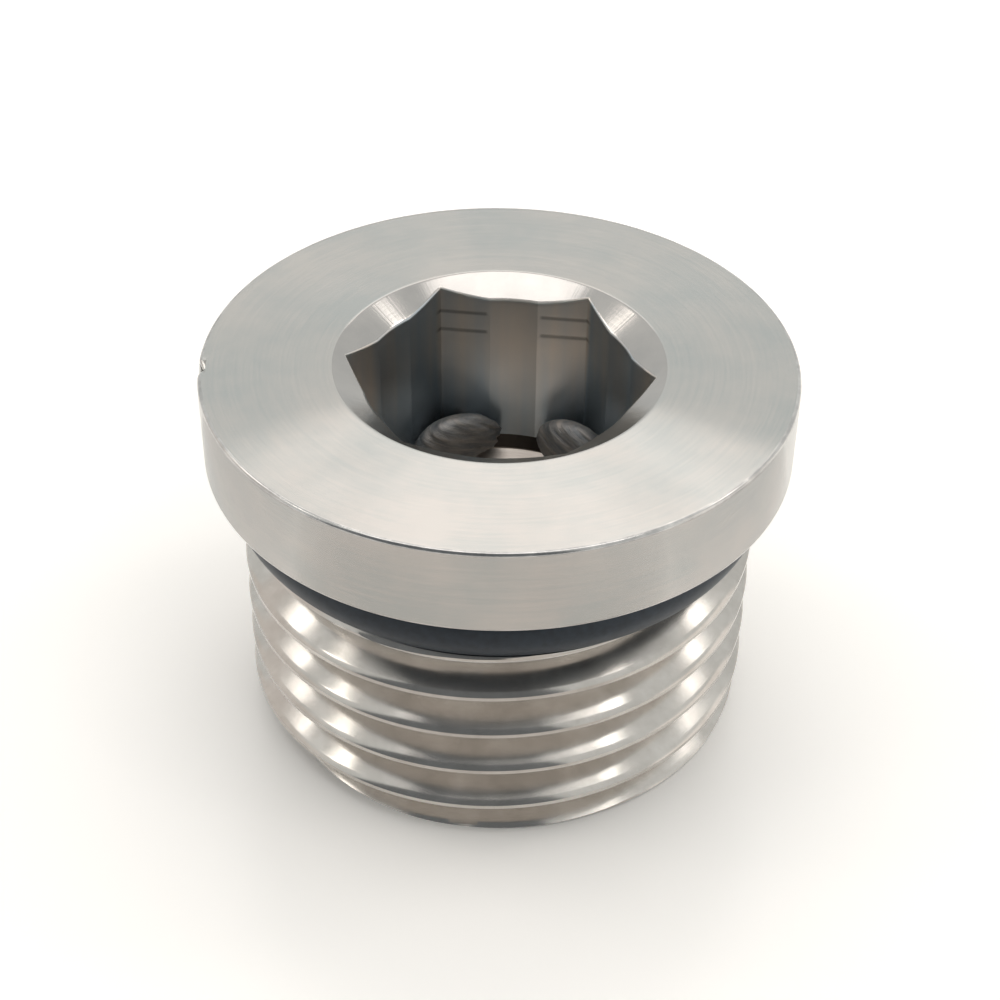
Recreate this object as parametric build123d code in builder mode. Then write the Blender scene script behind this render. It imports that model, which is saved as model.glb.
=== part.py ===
"""Hex socket screw plug, M16 x 1.5, with an O-ring under its head.

Millimetres. The plug stands on its thread end: the end face lies on z = 0, the
screw axis is +Z and the head is on top. Two flats of the hexagon face +Y and -Y.
"""
import os
from math import ceil, radians, tan

from build123d import *

# ---- driving dimensions -------------------------------------------------------
# head
head_diameter = 18.0
head_thickness = 2.8
head_edge_break = 0.12

# shank below the head
shank_length = 9.3
thread_diameter = 16.0
thread_pitch = 1.5
thread_depth = 0.92
thread_crest_width = 0.19
thread_flank_angle = 30.0  # each flank against the plane across the axis
thread_start_angle = 150.0  # where the groove's middle crosses z = 0, in degrees from +X
thread_end_chamfer = 0.35
thread_start_chamfer = 0.5

# neck that carries the sealing ring
neck_diameter = 12.6
neck_width = 2.3
neck_corner_radius = 0.2

# sealing ring
ring_section = 2.1
ring_squeeze = 0.05  # how far the ring is pressed on the neck and under the head

# socket
socket_across_flats = 8.1
socket_depth = 5.8
countersink_diameter = 10.05
countersink_angle = 120.0
drill_diameter = 8.24
drill_depth = 6.4
drill_point_angle = 118.0

# how far a cutter starts outside the metal that it cuts
cutter_overrun = 0.15

# ---- derived sizes ------------------------------------------------------------
head_radius = head_diameter / 2
thread_radius = thread_diameter / 2
neck_radius = neck_diameter / 2
overall_length = shank_length + head_thickness
thread_length = shank_length - neck_width
ring_radius = neck_radius + ring_section / 2 - ring_squeeze
ring_height = shank_length - ring_section / 2 + ring_squeeze
drill_point_length = drill_diameter / 2 / tan(radians(drill_point_angle / 2))
countersink_length = countersink_diameter / 2 / tan(radians(countersink_angle / 2))
flank_rise = tan(radians(thread_flank_angle))
groove_opening = thread_pitch - thread_crest_width
groove_root = groove_opening - 2 * thread_depth * flank_rise
groove_mouth = groove_opening + 2 * cutter_overrun * flank_rise
groove_turns = ceil((thread_length + neck_width / 2) / thread_pitch) + 1

# ---- one turn of the thread groove ---------------------------------------------
with BuildPart() as groove_turn:
    groove_base = Plane.XY.rotated((0, 0, thread_start_angle))
    with BuildLine(groove_base) as groove_path:
        Helix(pitch=thread_pitch, height=thread_pitch, radius=thread_radius)
    with BuildSketch(Plane((0, 0, 0), x_dir=groove_base.x_dir, z_dir=-groove_base.y_dir)):
        with BuildLine():
            Polyline(
                (thread_radius + cutter_overrun, -groove_mouth / 2),
                (thread_radius + cutter_overrun, groove_mouth / 2),
                (thread_radius - thread_depth, groove_root / 2),
                (thread_radius - thread_depth, -groove_root / 2),
                close=True,
            )
        make_face()
    sweep(path=groove_path.line, is_frenet=True)

# ---- plug body ----------------------------------------------------------------
with BuildPart() as plug_body:
    # the turned outline, from the thread end up to the head
    with BuildSketch(Plane.XZ) as turned_section:
        with BuildLine():
            Polyline(
                (0, 0),
                (thread_radius - thread_end_chamfer, 0),
                (thread_radius, thread_end_chamfer),
                (thread_radius, thread_length - thread_start_chamfer),
                (thread_radius - thread_start_chamfer, thread_length),
                (neck_radius, thread_length),
                (neck_radius, shank_length),
                (head_radius, shank_length),
                (head_radius, overall_length),
                (0, overall_length),
                close=True,
            )
        make_face()
        neck_corner = turned_section.vertices().sort_by_distance((neck_radius, 0, thread_length))[0]
        fillet(neck_corner, neck_corner_radius)
    revolve(axis=Axis.Z)

    # both edges of the head are broken
    head_edges = plug_body.edges().filter_by(GeomType.CIRCLE).group_by(SortBy.RADIUS)[-1]
    chamfer(head_edges, head_edge_break)

    # socket: a drilled hole with its point, a countersink, then the broached hexagon
    with BuildSketch(Plane.XZ) as drill_section:
        with BuildLine():
            Polyline(
                (0, overall_length + cutter_overrun),
                (drill_diameter / 2, overall_length + cutter_overrun),
                (drill_diameter / 2, overall_length - drill_depth),
                (0, overall_length - drill_depth - drill_point_length),
                close=True,
            )
        make_face()
    revolve(axis=Axis.Z, mode=Mode.SUBTRACT)
    with BuildSketch(Plane.XZ) as countersink_section:
        with BuildLine():
            Polyline(
                (0, overall_length),
                (countersink_diameter / 2, overall_length),
                (0, overall_length - countersink_length),
                close=True,
            )
        make_face()
    revolve(axis=Axis.Z, mode=Mode.SUBTRACT)
    with BuildSketch(Plane.XY.offset(overall_length)):
        RegularPolygon(socket_across_flats / 2, 6, major_radius=False)
    extrude(amount=-socket_depth, mode=Mode.SUBTRACT)

    # right-hand thread: the groove climbs turn by turn from below the end out into the neck
    for turn in range(groove_turns):
        with Locations((0, 0, (turn - 1) * thread_pitch)):
            add(groove_turn.part, mode=Mode.SUBTRACT)

plug_body.part.label = "plug_body"

# ---- sealing ring ---------------------------------------------------------------
with BuildPart() as sealing_ring:
    # a round section, pressed flat where it meets the neck and the head
    with BuildSketch(Plane.XZ) as ring_profile:
        with Locations((ring_radius, ring_height)):
            Circle(ring_section / 2)
        with Locations((neck_radius, shank_length)):
            Rectangle(2 * ring_section, 2 * ring_section, align=(Align.MIN, Align.MAX), mode=Mode.INTERSECT)
    revolve(axis=Axis.Z)
sealing_ring.part.label = "sealing_ring"

os.makedirs("parts", exist_ok=True)
export_step(plug_body.part, "parts/plug_body.step")
export_step(sealing_ring.part, "parts/sealing_ring.step")
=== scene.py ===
"""Looks of the hex socket plug: fine meshes, procedural metal and rubber, studio and camera.

Lengths are in millimetres, and turned into metres where a mesh or a texture is made. The frame
is the CAD model's: the thread's end face lies on z = 0 and +Z is the screw axis. The camera
stands on the -Y side.
"""
import math

import bmesh
import bpy
import numpy as np
from mathutils import Matrix, Vector


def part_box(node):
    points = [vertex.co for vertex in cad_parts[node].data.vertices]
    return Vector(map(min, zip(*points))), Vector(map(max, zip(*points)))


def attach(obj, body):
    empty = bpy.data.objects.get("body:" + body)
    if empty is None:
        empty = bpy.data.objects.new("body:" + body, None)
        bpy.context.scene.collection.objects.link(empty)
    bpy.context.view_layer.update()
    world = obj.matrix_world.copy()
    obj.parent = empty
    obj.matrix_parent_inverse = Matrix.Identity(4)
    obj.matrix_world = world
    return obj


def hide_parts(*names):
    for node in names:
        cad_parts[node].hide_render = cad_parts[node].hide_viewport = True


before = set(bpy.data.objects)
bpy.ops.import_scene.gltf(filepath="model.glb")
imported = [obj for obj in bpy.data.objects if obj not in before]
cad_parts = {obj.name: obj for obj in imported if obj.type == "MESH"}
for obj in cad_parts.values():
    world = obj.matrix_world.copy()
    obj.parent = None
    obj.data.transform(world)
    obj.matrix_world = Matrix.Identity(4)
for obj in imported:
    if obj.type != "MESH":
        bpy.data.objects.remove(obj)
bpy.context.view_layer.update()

MM = 0.001

# ---- sizes, from the frame where it holds them, else as the solids have them ----------------
body_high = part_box("plug_body")[1]
ring_low, ring_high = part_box("sealing_ring")
head_radius = body_high.x / MM
top = body_high.z / MM
ring_outer = ring_high.x / MM
ring_bottom = ring_low.z / MM
underside = ring_high.z / MM
edge_break = 0.12

thread_radius = 8.0
thread_pitch = 1.5
thread_depth = 0.92
thread_crest = 0.19
thread_flank_angle = 30.0
thread_start_angle = 150.0
thread_end_chamfer = 0.35
thread_start_chamfer = 0.5
thread_top = 7.0

neck_radius = 6.3
neck_corner_radius = 0.2
ring_section = 2.1

across_flats = 8.1
hex_depth = 5.8
countersink_radius = 5.025
countersink_slope = 30.0
drill_radius = 4.12
drill_depth = 6.4
drill_slope = 31.0

# rounds and marks that only the scene has
corner_round = 0.03
seat_corner_radius = 0.15
mouth_break = 0.05
rim_break = 0.01
nick_angle, nick_width, nick_depth = 189.0, 1.6, 0.22
nick_inward, nick_downward = 0.6, 0.5

# ---- how fine the meshes are ----------------------------------------------------------------
weld = 0.002  # vertices closer than this become one
columns_round = 360
rows_per_pitch = 24
point_shares = (0.002, 0.25, 0.5, 0.75, 0.97, 1.0)
wall_shares = (0.02, 0.25, 0.5, 0.75, 0.98, 1.0)
near_edge, off_edge = 0.04, 0.08  # rows beside an edge, which keep its shading out of big faces
crease_angle = 28
chip_sections, chip_columns = 36, 72
ring_sections, ring_columns = 56, 240

# half the angle that a drilled strip takes up in the middle of each flat, in degrees
strip_half = math.degrees(math.acos(across_flats / 2 / drill_radius))

# ---- mesh helpers ---------------------------------------------------------------------------


def smooth_min(a, b, blend):
    """The smaller of a and b, with the corner between them rounded over about blend."""
    share = np.maximum(blend - np.abs(a - b), 0) / blend
    return np.minimum(a, b) - share * share * blend / 4


def smooth_max(a, b, blend):
    """The larger of a and b, rounded like smooth_min."""
    return -smooth_min(-a, -b, blend)


def column_angles():
    """Even columns round the axis, with the nearest ones moved on to the drilled strips' edges."""
    angles = np.arange(columns_round) * 360.0 / columns_round
    for middle in range(30, 360, 60):
        for edge in (middle - strip_half, middle + strip_half):
            angles[int(round(edge * columns_round / 360)) % columns_round] = edge
    return np.radians(angles)


def hex_wall(theta):
    """Radius of the broached wall, or of the drilled wall where that lies further out."""
    from_flat = np.mod(theta, math.pi / 3) - math.pi / 6
    return np.maximum(across_flats / 2 / np.cos(from_flat), drill_radius)


def arc(centre_r, centre_z, radius, start, end, steps):
    """Points of a round corner in the (r, z) plane, angles in degrees."""
    turns = np.radians(np.linspace(start, end, steps))
    return [(centre_r + radius * math.cos(t), centre_z + radius * math.sin(t)) for t in turns]


def full_rows(rows, theta):
    """Every row's radius and height, spread over all the columns."""
    return [(r + 0 * theta, z + 0 * theta) for r, z in rows]


def ring_points(theta, r, z):
    """The vertices of one row, from its radius and height in each column."""
    return np.stack([r * np.cos(theta), r * np.sin(theta), z + 0 * theta], 1).tolist()


def grid_faces(rows, columns, offset=0):
    """Quads between consecutive rows of vertices, closed round the axis."""
    faces = []
    for j in range(rows - 1):
        for i in range(columns):
            k = (i + 1) % columns
            a = offset + j * columns
            faces.append((a + i, a + k, a + columns + k, a + columns + i))
    return faces


def make_object(name, points, faces, sharp_angle):
    """A mesh object, welded, with normals outward, and smooth but for its sharp edges."""
    mesh = bpy.data.meshes.new(name)
    mesh.from_pydata((np.asarray(points) * MM).tolist(), [], faces)
    work = bmesh.new()
    work.from_mesh(mesh)
    bmesh.ops.remove_doubles(work, verts=work.verts, dist=weld * MM)
    bmesh.ops.dissolve_degenerate(work, edges=work.edges, dist=weld * MM / 4)
    bmesh.ops.recalc_face_normals(work, faces=work.faces)
    work.to_mesh(mesh)
    work.free()
    mesh.polygons.foreach_set("use_smooth", [True] * len(mesh.polygons))
    mesh.set_sharp_from_angle(angle=math.radians(sharp_angle))
    obj = bpy.data.objects.new(name, mesh)
    bpy.context.scene.collection.objects.link(obj)
    return obj


# ---- plug body ------------------------------------------------------------------------------


def thread_surface(theta, z):
    """Radius of the threaded shank at an angle and height, with its chamfers and small rounds."""
    rise = math.tan(math.radians(90 - thread_flank_angle))
    opening_half = (thread_pitch - thread_crest) / 2
    middle = thread_pitch * (theta - math.radians(thread_start_angle)) / (2 * math.pi)
    off = np.abs(np.mod(z - middle + thread_pitch / 2, thread_pitch) - thread_pitch / 2)
    side = thread_radius - (opening_half - off) * rise
    radius = smooth_max(side, thread_radius - thread_depth, 3 * corner_round)
    radius = smooth_min(radius, thread_radius, 3 * corner_round)
    lower = thread_radius - thread_end_chamfer + z
    upper = thread_radius - thread_start_chamfer + (thread_top - z)
    envelope = smooth_min(lower, upper, corner_round)
    return smooth_min(radius, envelope, corner_round)


def thread_rows(theta):
    """Rows of points that follow the helix, cut off square at both ends of the thread."""
    step = thread_pitch / rows_per_pitch
    count = int(math.ceil(thread_top / step)) + rows_per_pitch
    rows = []
    for j in range(count, -1, -1):
        z = (j - rows_per_pitch) * step + thread_pitch * theta / (2 * math.pi)
        z = np.clip(z, 0, thread_top)
        rows.append((thread_surface(theta, z), z))
    return rows


def socket_rows(theta):
    """Rows from the drill point, up the socket's wall and out over the countersink."""
    wall = hex_wall(theta)
    drill_floor = top - drill_depth
    hex_floor = top - hex_depth
    tip = drill_floor - drill_radius * math.tan(math.radians(drill_slope))
    slope = math.tan(math.radians(countersink_slope))
    mouth = top - (countersink_radius - wall) * slope
    rows = [(drill_radius * share, tip + (drill_floor - tip) * share) for share in point_shares]
    rows += [(drill_radius, drill_floor + 0.05), (drill_radius, hex_floor - near_edge)]
    rows += [(drill_radius, hex_floor), (wall, hex_floor)]
    rows += [(wall, hex_floor + (mouth - mouth_break - hex_floor) * share) for share in wall_shares]
    rows.append((wall + 0.008, mouth - 0.015))  # the facet that breaks the mouth's edge
    rows += [(wall + inset, mouth + inset * slope) for inset in (near_edge, off_edge)]
    rows += [(countersink_radius - inset, top - inset * slope) for inset in (off_edge, near_edge)]
    rows.append((countersink_radius - rim_break, top - 0.9 * rim_break))
    rows += [(countersink_radius + outset, top) for outset in (0.03, 0.07)]
    return full_rows(rows, theta)


def head_rows(theta):
    """Rows over the head's face, round its broken and once nicked edge, and down to the neck."""
    face_end = head_radius - 2 * edge_break
    rows = [(r, top) for r in np.linspace(countersink_radius + 0.5, face_end, 6)]
    nick = nick_depth * np.exp(-((np.degrees(theta) - nick_angle) / nick_width) ** 2)
    for r, z in arc(head_radius - edge_break, top - edge_break, edge_break, 90, 0, 7):
        rows.append((r - nick * nick_inward, z - nick * nick_downward))
    for share in (0.5, 0.1):
        rows.append((head_radius - nick * share, top - edge_break - 0.4 * (nick_inward - share)))
    rows += [(head_radius, underside + (top - underside) * share) for share in (0.75, 0.5, 0.25)]
    rows.append((head_radius, underside + edge_break + near_edge))
    rows += arc(head_radius - edge_break, underside + edge_break, edge_break, 0, -90, 7)
    seat_r, seat_z = neck_radius + seat_corner_radius, underside - seat_corner_radius
    rows.append((seat_r + 0.1, underside))
    rows += arc(seat_r, seat_z, seat_corner_radius, 90, 180, 4)
    rows.append((neck_radius, thread_top + 0.5))
    foot_r, foot_z = neck_radius + neck_corner_radius, thread_top + neck_corner_radius
    rows += arc(foot_r, foot_z, neck_corner_radius, 180, 270, 5)
    return full_rows(rows, theta)


def helix_faces(start, rows):
    """Quads of the helical rows. At the seam the helix has climbed by one pitch of rows."""
    faces = []
    for j in range(rows - 1):
        for i in range(columns_round - 1):
            a = start + j * columns_round + i
            faces.append((a, a + 1, a + columns_round + 1, a + columns_round))
        last = start + (j + 1) * columns_round - 1
        near = start + max(j - rows_per_pitch, 0) * columns_round
        far = start + max(j + 1 - rows_per_pitch, 0) * columns_round
        faces.append((last, near, far, last + columns_round))
    return faces


def plug_mesh():
    """One closed mesh: socket, head and neck as plain rings, then the thread's helical rows."""
    theta = column_angles()
    rings = socket_rows(theta) + head_rows(theta)
    helix = thread_rows(theta)
    points = [(0, 0, rings[0][1][0])]
    for r, z in rings + helix:
        points += ring_points(theta, r, z)
    points.append((0, 0, 0))
    start = 1 + len(rings) * columns_round
    end = start + (len(helix) - 1) * columns_round
    last_ring = start - columns_round
    faces = grid_faces(len(rings), columns_round, 1)
    faces += helix_faces(start, len(helix))
    for i in range(columns_round):
        k = (i + 1) % columns_round
        faces.append((0, 1 + k, 1 + i))
        faces.append((last_ring + i, last_ring + k, start + k, start + i))
        faces.append((end + i, end + k, len(points) - 1))
    faces = [face for face in faces if len(set(face)) == len(face)]
    plug = make_object("plug_skin", points, faces, crease_angle)
    crease_strips(plug.data)
    return plug


def crease_strips(mesh):
    """Sharp edges down the drilled strips, whose walls meet the flats too gently to show."""
    sharp = mesh.attributes["sharp_edge"].data
    for edge in mesh.edges:
        a, b = (mesh.vertices[v].co / MM for v in edge.vertices)
        upright = abs(a.z - b.z) >= 0.2
        in_hexagon = min(a.z, b.z) >= top - hex_depth - weld
        inside = max(a.xy.length, b.xy.length) <= countersink_radius
        off_flat = math.degrees(math.atan2(a.y, a.x)) % 60 - 30
        on_strip_edge = abs(abs(off_flat) - strip_half) < 0.05
        if upright and in_hexagon and inside and on_strip_edge:
            sharp[edge.index].value = True


# ---- metal left by the broach -----------------------------------------------------------------

chip_low, chip_high = top - drill_depth - 0.1, top - hex_depth + 1.45
chip_depth, chip_swing = 0.75, 23.0
chip_reach = 4.2
chip_bite = 0.03  # how far a chip may sink into the wall
chip_lean = 0.25  # how much nearer the axis its top is than its foot
chip_slump = 0.175  # how much one side of it has sunk, as a share of its height
chip_girth, chip_oval = 0.91, 0.06
# for each corner: turn off the corner in degrees, middle radius, stretch in height
chip_places = ((-3.0, 3.70, 1.0), (-7.5, 3.60, 1.15), (-0.5, 3.68, 1.0),
               (2.0, 3.65, 0.9), (-3.0, 3.72, 0.95), (-1.0, 3.68, 0.95))
# for each set of folds: height, waves up the chip, waves round it
chip_folds = ((0.10, 2.5, 3), (0.07, 9, 6))


def chip_points(corner):
    """A closed lump of folded metal, pushed down into one corner of the hexagon by the broach."""
    points = []
    chip_turn, chip_middle, chip_stretch = chip_places[corner]
    half_height = (chip_high - chip_low) / 2 * chip_stretch
    for j in range(chip_sections + 1):
        lift = math.pi * (j / chip_sections - 0.5)
        for i in range(chip_columns):
            turn = 2 * math.pi * i / chip_columns
            girth = chip_girth + chip_oval * math.sin(2 * turn + 1.7 * corner)
            for height, up, round_it in chip_folds:
                girth += height * abs(math.sin(up * lift + round_it * turn + corner))
            side = abs(math.cos(lift)) ** 0.8 * girth
            r = chip_middle - chip_lean * math.sin(lift) + chip_depth * side * math.cos(turn)
            swing = math.radians(60 * corner + chip_turn + chip_swing * side * math.sin(turn))
            slump = 1 - chip_slump * side * math.sin(turn + 0.9 * corner)
            z = chip_low + half_height * (1 + math.sin(lift)) * slump
            r = min(r, float(hex_wall(swing)) + chip_bite, chip_reach)
            points.append((r * math.cos(swing), r * math.sin(swing), z))
    return points


def chips_mesh():
    """The six lumps in the corners of the socket's floor."""
    points, faces = [], []
    for corner in range(6):
        start = len(points)
        points += chip_points(corner)
        faces += grid_faces(chip_sections + 1, chip_columns, start)
    return make_object("socket_chips", points, faces, 60)


# ---- sealing ring -----------------------------------------------------------------------------


def ring_mesh():
    """The O-ring: a round section pressed flat on the neck and under the head."""
    half = ring_section / 2
    centre_r = ring_outer - half
    centre_z = ring_bottom + half
    theta = np.arange(ring_columns) * 2 * math.pi / ring_columns
    points = []
    for j in range(ring_sections):
        turn = 2 * math.pi * j / ring_sections
        r = max(centre_r + half * math.cos(turn), neck_radius)
        z = min(centre_z + half * math.sin(turn), underside)
        points += ring_points(theta, r, z)
    faces = grid_faces(ring_sections, ring_columns)
    last = (ring_sections - 1) * ring_columns
    for i in range(ring_columns):
        k = (i + 1) % ring_columns
        faces.append((last + i, last + k, k, i))
    return make_object("ring_skin", points, faces, 40)


# ---- materials --------------------------------------------------------------------------------


class Shader:
    """A short way to add nodes to one material and join them."""

    def __init__(self, name):
        self.material = bpy.data.materials.new(name)
        self.material.use_nodes = True
        self.tree = self.material.node_tree
        self.surface = self.tree.nodes["Principled BSDF"]

    def add(self, kind, **settings):
        node = self.tree.nodes.new(kind)
        for key, value in settings.items():
            setattr(node, key, value)
        return node

    def set(self, socket, value):
        """A socket gets either a constant or a link from another node's output."""
        if isinstance(value, bpy.types.NodeSocket):
            self.tree.links.new(value, socket)
        else:
            socket.default_value = value

    def calc(self, operation, first, second=0.0):
        node = self.add("ShaderNodeMath", operation=operation)
        for socket, value in zip(node.inputs, (first, second)):
            self.set(socket, value)
        return node.outputs[0]

    def times(self, value, factor):
        return self.calc("MULTIPLY", value, factor)

    def vector(self, x, y, z):
        node = self.add("ShaderNodeCombineXYZ")
        for socket, value in zip(node.inputs, (x, y, z)):
            self.set(socket, value)
        return node.outputs[0]

    def noise(self, vector, scale, detail=3.0, roughness=0.5):
        node = self.add("ShaderNodeTexNoise", noise_dimensions="3D")
        self.set(node.inputs["Vector"], vector)
        node.inputs["Scale"].default_value = scale
        node.inputs["Detail"].default_value = detail
        node.inputs["Roughness"].default_value = roughness
        return node.outputs["Fac"]

    def grain(self, x, y, along, broad, fine, detail, roughness):
        """Noise with one scale, broad, over x and y and another, fine, over a third measure."""
        place = self.vector(self.times(x, broad), self.times(y, broad), self.times(along, fine))
        return self.noise(place, 1.0, detail, roughness)

    def between(self, value, low, high, from_low=0.0, from_high=1.0):
        """The value's range from_low to from_high, spread over low to high."""
        node = self.add("ShaderNodeMapRange", clamp=True)
        for socket, number in zip(node.inputs, (value, from_low, from_high, low, high)):
            self.set(socket, number)
        return node.outputs[0]

    def past(self, value, start, end):
        """Zero up to start and one from end on, both in millimetres."""
        return self.between(value, 0.0, 1.0, start * MM, end * MM)

    def ramp(self, value, low_color, high_color, low=0.3, high=0.7):
        node = self.add("ShaderNodeValToRGB")
        first, last = node.color_ramp.elements
        first.position, first.color = low, (*low_color, 1)
        last.position, last.color = high, (*high_color, 1)
        self.set(node.inputs["Fac"], value)
        return node.outputs["Color"]

    def lines(self, value, places, width):
        """One at each of the places along a value from 0 to 1, and zero between them."""
        node = self.add("ShaderNodeValToRGB")
        stops = node.color_ramp.elements
        stops[0].color = stops[1].color = (0, 0, 0, 1)
        for place in places:
            for offset, level in ((-width, 0), (-width / 3, 1), (width / 3, 1), (width, 0)):
                stops.new(place + offset).color = (level, level, level, 1)
        self.set(node.inputs["Fac"], value)
        return node.outputs["Color"]

    def mix(self, kind, factor, first, second):
        node = self.add("ShaderNodeMix", data_type="RGBA", blend_type=kind)
        for key, value in (("Factor", factor), ("A", first), ("B", second)):
            self.set(node.inputs[key], value)
        return node.outputs["Result"]

    def shade(self, color, mask, level):
        """The colour, times a level where the mask is one."""
        return self.mix("MULTIPLY", mask, color, (level, level, level, 1))

    def paint(self, color):
        self.set(self.surface.inputs["Base Color"], color)

    def bump(self, height, strength, depth):
        node = self.add("ShaderNodeBump")
        node.inputs["Strength"].default_value = strength
        node.inputs["Distance"].default_value = depth * MM
        self.set(node.inputs["Height"], height)
        self.set(self.surface.inputs["Normal"], node.outputs[0])

    def place(self):
        return self.add("ShaderNodeTexCoord").outputs["Object"]

    def lathe(self):
        """Object coordinates, one by one, and the distance from the screw axis."""
        split = self.add("ShaderNodeSeparateXYZ")
        self.set(split.inputs[0], self.place())
        x, y, z = split.outputs
        length = self.add("ShaderNodeVectorMath", operation="LENGTH")
        self.set(length.inputs[0], self.vector(x, y, 0.0))
        return x, y, z, length.outputs["Value"]


turned, broached = 0.25, 0.0  # turns of the anisotropy: tool marks round the axis, or along it
face_lean = 6.0  # how far the long flanks of the turning marks lean outward, in degrees


def steel(name, smooth, rough, anisotropic, rotation):
    """Bare steel whose roughness wanders between smooth and rough."""
    shader = Shader(name)
    inputs = shader.surface.inputs
    inputs["Metallic"].default_value = 1.0
    inputs["Anisotropic"].default_value = anisotropic
    inputs["Anisotropic Rotation"].default_value = rotation
    tangent = shader.add("ShaderNodeTangent", direction_type="RADIAL", axis="Z")
    shader.set(inputs["Tangent"], tangent.outputs[0])
    clouds = shader.noise(shader.place(), 420.0, 5.0, 0.6)
    shader.set(inputs["Roughness"], shader.between(clouds, smooth, rough, 0.3, 0.7))
    return shader


def turned_face():
    """Head: fine rings left by the turning tool, and patches where it was handled."""
    shader = steel("turned_face", 0.21, 0.25, 0.97, turned)
    x, y, z, radius = shader.lathe()
    streaks = shader.grain(x, y, shader.calc("SUBTRACT", radius, z), 250.0, 9000.0, 4.0, 0.7)
    patches = shader.noise(shader.place(), 330.0, 4.0, 0.55)
    handled = shader.calc("ADD", shader.times(patches, 0.7), shader.times(streaks, 0.3))
    shader.paint(shader.ramp(handled, (0.55, 0.56, 0.545), (0.65, 0.62, 0.588), 0.38, 0.62))
    marks = shader.times(streaks, 0.0004 * MM)
    lean = shader.times(radius, -math.tan(math.radians(face_lean)))
    shader.bump(shader.calc("ADD", marks, lean), 1.0, 1 / MM)
    return shader.material


def painted_shade_underside():
    """Seat under the head, and the neck: coarser rings, and painted shade, dark and bluish, where
    the head's overhang shades them.
    """
    shader = steel("painted_shade_underside", 0.30, 0.40, 0.5, turned)
    x, y, _, radius = shader.lathe()
    coarse = shader.grain(x, y, radius, 250.0, 5000.0, 4.0, 0.7)
    # painted shade: the tone is made very dark and bluish, as under the head's overhang
    shader.paint(shader.ramp(coarse, (0.055, 0.07, 0.085), (0.10, 0.12, 0.14)))
    shader.bump(coarse, 0.3, 0.006)
    return shader.material


def broken_edge():
    """Edges of the head: small bright breaks with burrs, so they shine unevenly round the head."""
    shader = steel("broken_edge", 0.12, 0.25, 0.3, turned)
    burrs = shader.noise(shader.place(), 700.0, 5.0, 0.7)
    shader.paint(shader.ramp(burrs, (0.48, 0.47, 0.46), (0.72, 0.70, 0.68), 0.4, 0.65))
    shader.bump(burrs, 0.35, 0.03)
    return shader.material


def cut_thread():
    """Thread: smoother than the head, with faint lines round it and a warm, uneven tone."""
    shader = steel("cut_thread", 0.13, 0.22, 0.5, turned)
    x, y, z, _ = shader.lathe()
    stains = shader.noise(shader.place(), 900.0, 4.0, 0.65)
    shader.paint(shader.ramp(stains, (0.53, 0.50, 0.465), (0.65, 0.62, 0.585)))
    shader.bump(shader.grain(x, y, z, 400.0, 12000.0, 3.0, 0.6), 0.3, 0.0012)
    return shader.material


def bright_cone():
    """Countersink: a smooth, bright cut with a little chatter across it."""
    shader = steel("bright_cone", 0.13, 0.19, 0.6, turned)
    x, y, _, radius = shader.lathe()
    cloud = shader.noise(shader.place(), 500.0, 4.0, 0.6)
    shader.paint(shader.ramp(cloud, (0.46, 0.445, 0.43), (0.55, 0.525, 0.50)))
    rings = shader.grain(x, y, radius, 300.0, 9000.0, 3.0, 0.6)
    turn = shader.times(shader.calc("ARCTAN2", y, x), 40.0)
    chatter = shader.noise(shader.vector(turn, 0.0, 0.0), 1.0, 2.0, 0.6)
    shader.bump(shader.calc("ADD", rings, shader.times(chatter, 2.0)), 0.3, 0.004)
    return shader.material


def broached_socket():
    """Socket: lines along the stroke of the broach, and a few across it near the mouth; painted
    shade deeper down and painted highlights on the far flat and the side corners.
    """
    shader = steel("broached_socket", 0.38, 0.46, 0.5, broached)
    x, y, z, radius = shader.lathe()
    fine = shader.grain(x, y, z, 6000.0, 150.0, 3.0, 0.6)
    panels = shader.grain(x, y, z, 1100.0, 60.0, 2.0, 0.5)

    # marks across the far flat, on either side of its drilled strip
    far_flat = shader.past(y, 3.8, 4.0)
    on_flat = shader.past(radius, drill_radius + 0.01, drill_radius + 0.03)
    across = shader.lines(shader.past(z, top - 2.4, top - 0.6), (0.37, 0.75), 0.05)
    marks = shader.times(across, shader.times(on_flat, far_flat))

    # painted highlight, warm, on the far flat and the side corners, and painted shade, blue,
    # further down
    side_corner = shader.past(shader.calc("ABSOLUTE", x), 3.9, 4.1)
    painted_highlight_faces = shader.calc("MAXIMUM", far_flat, side_corner)
    painted_shade_depth = shader.between(z, 0.3, 0.0, (top - 4.8) * MM, (top - 2.2) * MM)
    warm = shader.calc("ADD", shader.times(panels, 0.7), shader.times(painted_highlight_faces, 0.2))
    warm = shader.calc("SUBTRACT", warm, painted_shade_depth)
    tone = shader.ramp(warm, (0.48, 0.55, 0.60), (0.71, 0.655, 0.595), 0.22, 0.60)

    # painted highlight: the right half of the far flat is made the brightest
    painted_highlight_patch = shader.times(far_flat, shader.past(x, 0.74, 0.78))
    tone = shader.shade(tone, painted_highlight_patch, 1.3)
    shader.paint(shader.shade(tone, marks, 0.55))
    shader.bump(shader.calc("SUBTRACT", shader.times(fine, 0.15), marks), 0.25, 0.01)
    return shader.material


def dull_drilling_painted_shade():
    """Bottom of the drilled hole: torn and dull, with painted shade, very dark, on the wall above
    its point.
    """
    shader = steel("dull_drilling_painted_shade", 0.30, 0.40, 0.3, turned)
    x, y, z, radius = shader.lathe()
    torn = shader.grain(x, y, radius, 500.0, 5000.0, 4.0, 0.7)
    tone = shader.ramp(torn, (0.46, 0.41, 0.37), (0.58, 0.53, 0.48))
    # painted shade: the wall above the drill point is darkened to 0.12 of its tone
    wall = shader.past(z, top - drill_depth, top - drill_depth + 0.06)
    shader.paint(shader.shade(tone, wall, 0.12))
    shader.bump(torn, 0.5, 0.02)
    return shader.material


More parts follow.
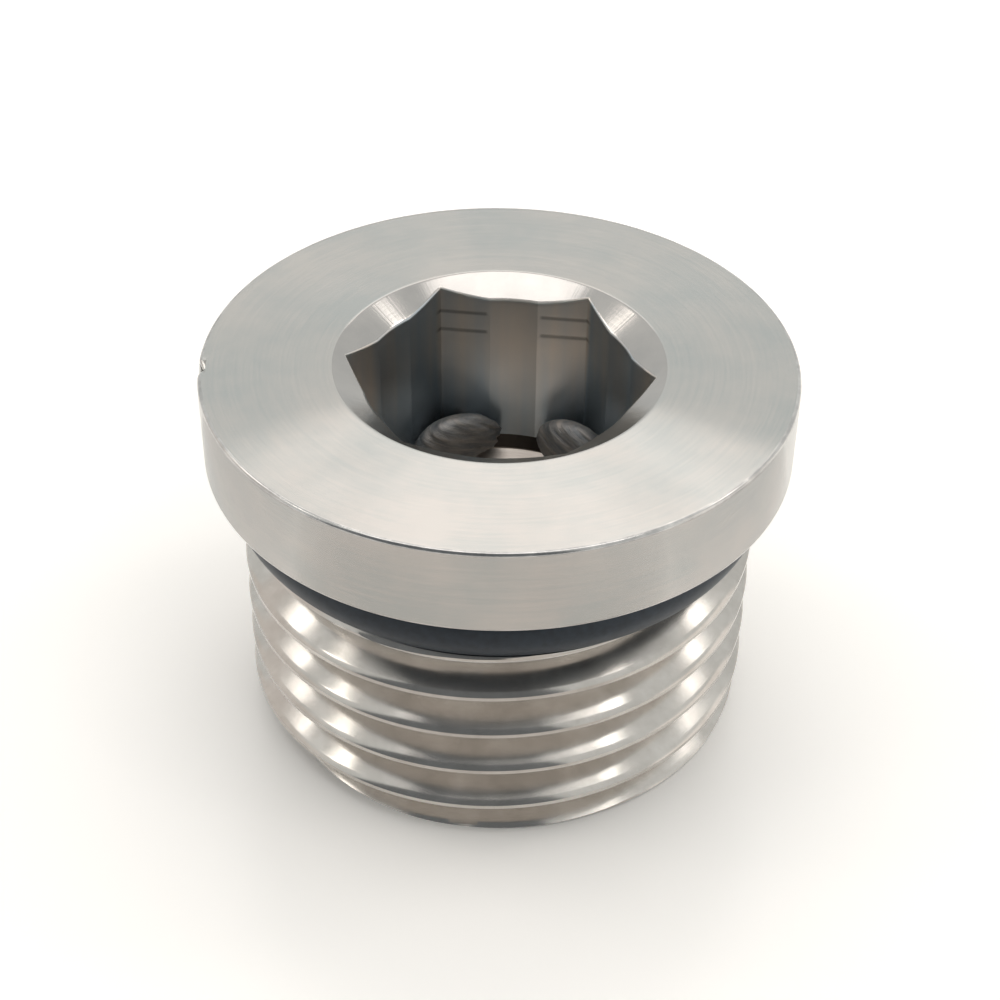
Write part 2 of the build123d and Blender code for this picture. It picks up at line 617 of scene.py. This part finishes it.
def folded_metal():
    """Chips: dull metal with close, slanting ridges where it was pushed into folds."""
    shader = steel("folded_metal", 0.55, 0.70, 0.0, turned)
    x, y, z, _ = shader.lathe()
    slanted = shader.calc("ADD", z, shader.times(x, 0.5))
    fold = shader.grain(x, y, slanted, 900.0, 4500.0, 4.0, 0.65)
    shader.paint(shader.ramp(fold, (0.26, 0.275, 0.29), (0.56, 0.51, 0.47)))
    shader.bump(fold, 1.0, 0.09)
    return shader.material


def seal_rubber():
    """Black rubber with a fine grain and a bluish sheen."""
    shader = Shader("seal_rubber")
    shader.surface.inputs["Roughness"].default_value = 0.42
    shader.surface.inputs["Specular IOR Level"].default_value = 0.45
    grain = shader.noise(shader.place(), 4000.0)
    shader.paint(shader.ramp(grain, (0.015, 0.024, 0.036), (0.025, 0.038, 0.055)))
    shader.bump(grain, 0.2, 0.005)
    return shader.material


def finish_of(centre, normal):
    """Which tool cut a face of the plug, from the face's middle in millimetres and its normal."""
    from_axis = centre.xy.length
    if from_axis < countersink_radius and centre.z > top - drill_depth - drill_radius:
        if normal.z > 0.8 and centre.z > top - 1:
            return bright_cone
        return dull_drilling_painted_shade if centre.z < top - hex_depth + 0.01 else broached_socket
    if 0.001 < centre.z < thread_top and abs(normal.z) < 0.99:
        return cut_thread
    on_head_side = underside + edge_break < centre.z < top - edge_break
    if from_axis > head_radius - edge_break and not on_head_side:
        return broken_edge
    if from_axis < head_radius and thread_top < centre.z < underside + weld:
        return painted_shade_underside
    return turned_face


def finish_plug(plug):
    """Each part of the plug gets the finish of the tool that cut it; the underside, the socket and
    the drilled hole also carry painted shade, and the socket painted highlights.
    """
    finishes = [turned_face, cut_thread, bright_cone, broached_socket, dull_drilling_painted_shade, broken_edge,
                painted_shade_underside]
    for finish in finishes:
        plug.data.materials.append(finish())
    for face in plug.data.polygons:
        face.material_index = finishes.index(finish_of(face.center / MM, face.normal))


def dress(obj, node):
    """The object stands in for one of the CAD model's nodes."""
    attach(obj, "root")
    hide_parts(node)


# ---- studio -----------------------------------------------------------------------------------

sky_radius = 400.0
ceiling_height = 396.0
sheet_height = 0.3
floor_half = 600.0
back_wall = (0.76, 0.775, 0.76, 1)
floor_plain = (0.6, 0.6, 0.59, 1)
floor_seen = (1.34, 1.31, 1.275, 1)

# lamps overhead: span across the picture, span away from the camera, colour, strength
ceiling_panels = {
    "card_panel": ((-180, 165), (-85, 62), (1.0, 0.975, 0.95), 2.2),
    "card_tube_right": ((165, 215), (-62, -22), (1.0, 0.97, 0.93), 5.0),
    "card_tube_left": ((-400, -310), (-65, -10), (1.0, 0.95, 0.88), 4.8),
    "card_window_right": ((245, 390), (130, 210), (1.0, 0.96, 0.92), 4.5),
    "card_window_left": ((-490, -300), (95, 200), (1.0, 0.95, 0.90), 3.4),
}
# soft boxes behind and at the sides, and a dark flag round the camera: span of turn and span of
# lift in degrees, colour, strength
sky_cards = {
    "card_above_back": ((58, 122), (42, 68), (1.0, 0.965, 0.93), 1.55),
    "card_right_low": ((-18, 26), (4, 30), (1.0, 0.96, 0.91), 1.15),
    "card_left_low": ((150, 196), (7, 34), (1.0, 0.95, 0.90), 0.80),
    "card_flag": ((213, 303), (2, 74), (0.90, 0.96, 1.0), 0.20),
}
# painted shade: grey sheets on the table, which only the metal mirrors, stand in for the table's
# shade round the plug; laid out like the lamps
painted_shade_sheets = {
    "card_table": ((-16, 16), (-45, -18.5), (1.0, 0.95, 0.89), 0.74),
    "card_table_near": ((-16, 16), (-18.5, -9.2), (1.0, 0.95, 0.89), 0.70),
    "card_table_left": ((-60, -16), (-45, 10), (1.0, 0.97, 0.93), 0.78),
    "card_table_right": ((16, 60), (-45, 10), (1.0, 0.97, 0.93), 0.80),
}


def glow(name, color, strength, one_sided=False):
    """A material that gives off light of one colour, and may be clear from behind."""
    shader = Shader(name)
    emission = shader.add("ShaderNodeEmission")
    emission.inputs["Color"].default_value = (*color, 1)
    emission.inputs["Strength"].default_value = strength
    light = emission.outputs[0]
    if one_sided:
        behind = shader.add("ShaderNodeNewGeometry").outputs["Backfacing"]
        clear = shader.add("ShaderNodeBsdfTransparent").outputs[0]
        mix = shader.add("ShaderNodeMixShader")
        for socket, value in zip(mix.inputs, (behind, light, clear)):
            shader.set(socket, value)
        light = mix.outputs[0]
    shader.set(shader.tree.nodes["Material Output"].inputs["Surface"], light)
    return shader.material


def add_card(name, points, columns, material):
    """A stage card from a grid of points, which the camera does not see."""
    faces = []
    for row in range(len(points) // columns - 1):
        for column in range(columns - 1):
            a = row * columns + column
            faces.append((a, a + 1, a + columns + 1, a + columns))
    mesh = bpy.data.meshes.new(name)
    mesh.from_pydata((np.asarray(points) * MM).tolist(), [], faces)
    mesh.materials.append(material)
    card = bpy.data.objects.new(name, mesh)
    bpy.context.scene.collection.objects.link(card)
    card.visible_camera = False
    card.visible_shadow = False
    return card


def ceiling_panel(name, side, depth, color, strength):
    """A flat lamp overhead."""
    points = [(x, y, ceiling_height) for y in depth for x in side]
    add_card(name, points, 2, glow(name, color, strength))


def painted_shade_sheet(name, side, depth, color, strength):
    """A grey sheet on the table, which stands in for the table's shade round the plug as the metal
    mirrors it: painted shade. The floor mirrors nothing of it, for its underside is clear.
    """
    points = [(x, y, sheet_height) for y in depth for x in side]
    sheet = add_card(name, points, 2, glow(name, color, strength, one_sided=True))
    sheet.visible_diffuse = False


def sky_card(name, turn, lift, color, strength):
    """A curved card on a sphere round the plug."""
    columns, rows = 13, 7
    points = []
    for e in np.radians(np.linspace(*lift, rows)):
        for t in np.radians(np.linspace(*turn, columns)):
            points.append((math.cos(e) * math.cos(t), math.cos(e) * math.sin(t), math.sin(e)))
    add_card(name, np.asarray(points) * sky_radius, columns, glow(name, color, strength))


def make_cards():
    """All the lamps and soft boxes that light the plug or show in its metal, and the sheets of
    painted shade that show in it.
    """
    for name, card in ceiling_panels.items():
        ceiling_panel(name, *card)
    for name, card in sky_cards.items():
        sky_card(name, *card)
    for name, card in painted_shade_sheets.items():
        painted_shade_sheet(name, *card)


def make_floor():
    """A glossy white table. What the camera and the metal see of it is lifted to white."""
    size = floor_half * MM
    mesh = bpy.data.meshes.new("studio_floor")
    corners = [(-size, -size, 0), (size, -size, 0), (size, size, 0), (-size, size, 0)]
    mesh.from_pydata(corners, [], [(0, 1, 2, 3)])
    floor = bpy.data.objects.new("studio_floor", mesh)
    bpy.context.scene.collection.objects.link(floor)
    shader = Shader("studio_floor")
    path = shader.add("ShaderNodeLightPath").outputs
    seen = shader.calc("MAXIMUM", path["Is Camera Ray"], path["Is Glossy Ray"])
    seen = shader.calc("MAXIMUM", seen, path["Is Transmission Ray"])
    not_bounced = shader.calc("LESS_THAN", path["Diffuse Depth"], 0.5)
    seen = shader.times(seen, not_bounced)
    shader.paint(shader.mix("MIX", seen, floor_plain, floor_seen))
    shader.surface.inputs["Roughness"].default_value = 0.25
    mesh.materials.append(shader.material)


def make_world():
    """White to the camera, and a pale wall for everything else."""
    world = bpy.data.worlds.new("studio_world")
    bpy.context.scene.world = world
    world.use_nodes = True
    tree = world.node_tree
    back = tree.nodes["Background"]
    mix = tree.nodes.new("ShaderNodeMix")
    mix.data_type = "RGBA"
    mix.inputs["A"].default_value = back_wall
    mix.inputs["B"].default_value = (1, 1, 1, 1)
    path = tree.nodes.new("ShaderNodeLightPath")
    tree.links.new(path.outputs["Is Camera Ray"], mix.inputs["Factor"])
    tree.links.new(mix.outputs["Result"], back.inputs["Color"])
    back.inputs["Strength"].default_value = 1.0


def make_camera():
    """The camera stands in front, a little to the right of the hexagon's near flat."""
    turn, lift, roll = math.radians(6.04), math.radians(38.61), math.radians(-0.70)
    distance, target_side, target_height = 64.49, 0.06, 6.765
    focal_share = 2.044
    right = Vector((math.cos(turn), math.sin(turn), 0))
    back = Vector((math.sin(turn) * math.cos(lift), -math.cos(turn) * math.cos(lift),
                   math.sin(lift)))
    up = back.cross(right)
    camera_right = right * math.cos(roll) - up * math.sin(roll)
    camera_up = right * math.sin(roll) + up * math.cos(roll)
    place = right * target_side + Vector((0, 0, target_height)) + back * distance
    data = bpy.data.cameras.new("camera")
    data.sensor_width = 36
    data.lens = data.sensor_width * focal_share
    data.clip_start = 1 * MM
    data.clip_end = 10
    camera = bpy.data.objects.new("camera", data)
    rotation = Matrix((camera_right, camera_up, back)).transposed().to_4x4()
    camera.matrix_world = Matrix.Translation(place * MM) @ rotation
    bpy.context.scene.collection.objects.link(camera)
    bpy.context.scene.camera = camera


plug = plug_mesh()
finish_plug(plug)
dress(plug, "plug_body")
chips = chips_mesh()
chips.data.materials.append(folded_metal())
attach(chips, "root")
ring = ring_mesh()
ring.data.materials.append(seal_rubber())
dress(ring, "sealing_ring")
make_floor()
make_cards()
make_world()
make_camera()
bpy.context.scene.view_settings.view_transform = "Standard"
